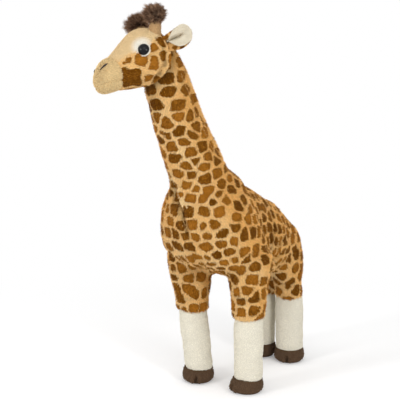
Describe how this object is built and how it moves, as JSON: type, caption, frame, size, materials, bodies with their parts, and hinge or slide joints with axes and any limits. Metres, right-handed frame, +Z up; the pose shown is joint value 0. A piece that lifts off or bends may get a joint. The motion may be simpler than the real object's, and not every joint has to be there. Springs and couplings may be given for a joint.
{
  "type": "plush giraffe",
  "caption": "Standing plush giraffe with a patched coat, pale face, furry horn tufts, cream lower legs and dark hooves; its neck, head, ears and tail give.",
  "frame": {"origin": "middle of the bottom of the bounding box, on the surface that it stands on", "axes": "+Z up, -Y the way that the body faces, +X the giraffe's left side"},
  "size_m": [0.182, 0.4812, 0.6362],
  "materials": {
    "plush": "short-pile knitted plush, golden tan printed with brown patches",
    "face_plush": "short-pile plush, pale cream",
    "muzzle_plush": "short-pile plush, beige",
    "sock_plush": "very short smooth pile, cream",
    "hoof_plush": "short-pile plush, dark brown",
    "tuft_fur": "long tufted fibre, dark brown with paler tips",
    "lining": "smooth knitted velour, off-white",
    "thread": "dark brown embroidery thread",
    "eye_gloss": "polished black",
    "washer": "plain moulded, inside the head"
  },
  "bodies": {
    "body": {"torso": "plush", "front_left_leg": "plush", "front_left_sock": "sock_plush", "front_left_hoof": "hoof_plush", "front_left_sole": "hoof_plush", "front_right_leg": "plush", "front_right_sock": "sock_plush", "front_right_hoof": "hoof_plush", "front_right_sole": "hoof_plush", "rear_left_leg": "plush", "rear_left_sock": "sock_plush", "rear_left_hoof": "hoof_plush", "rear_left_sole": "hoof_plush", "rear_right_leg": "plush", "rear_right_sock": "sock_plush", "rear_right_hoof": "hoof_plush", "rear_right_sole": "hoof_plush"},
    "neck": {"neck": "plush", "mane": "plush"},
    "head": {"head": "plush", "face_panel": "face_plush", "muzzle": "muzzle_plush", "chin": "muzzle_plush", "eye_left": "eye_gloss", "eye_washer_left": "washer", "nostril_left": "thread", "horn_left": "plush", "horn_tuft_left": "tuft_fur", "eye_right": "eye_gloss", "eye_washer_right": "washer", "nostril_right": "thread", "horn_right": "plush", "horn_tuft_right": "tuft_fur"},
    "ear_left": {"ear_left": "plush", "ear_lining_left": "lining"},
    "ear_right": {"ear_right": "plush", "ear_lining_right": "lining"},
    "tail": {"tail": "plush", "tail_tuft": "tuft_fur"}
  },
  "joints": [
    {"name": "neck_bend", "type": "hinge", "parent": "body", "child": "neck", "pos_m": [0.005, -0.06527, 0.345], "axis": [1, 0, 0], "range_deg": [-6, 6], "stiffness_Nm_per_rad": 4, "springref_deg": -0.72},
    {"name": "head_turn", "type": "hinge", "parent": "neck", "child": "head", "pos_m": [-0.02381, -0.14206, 0.53506], "axis": [-0.1392, -0.371, 0.9182], "range_deg": [-20, 20], "stiffness_Nm_per_rad": 1},
    {"name": "ear_left_flop", "type": "hinge", "parent": "head", "child": "ear_left", "pos_m": [-0.0076, -0.14531, 0.57739], "axis": [0.3468, 0.1796, -0.9206], "range_deg": [-20, 20], "stiffness_Nm_per_rad": 0.02},
    {"name": "ear_right_flop", "type": "hinge", "parent": "head", "child": "ear_right", "pos_m": [-0.05201, -0.12268, 0.56496], "axis": [-0.3502, -0.1778, 0.9196], "range_deg": [-20, 20], "stiffness_Nm_per_rad": 0.02},
    {"name": "tail_swing", "type": "hinge", "parent": "body", "child": "tail", "pos_m": [0.005, 0.21073, 0.216], "axis": [1, 0, 0], "range_deg": [0, 60]}
  ]
}
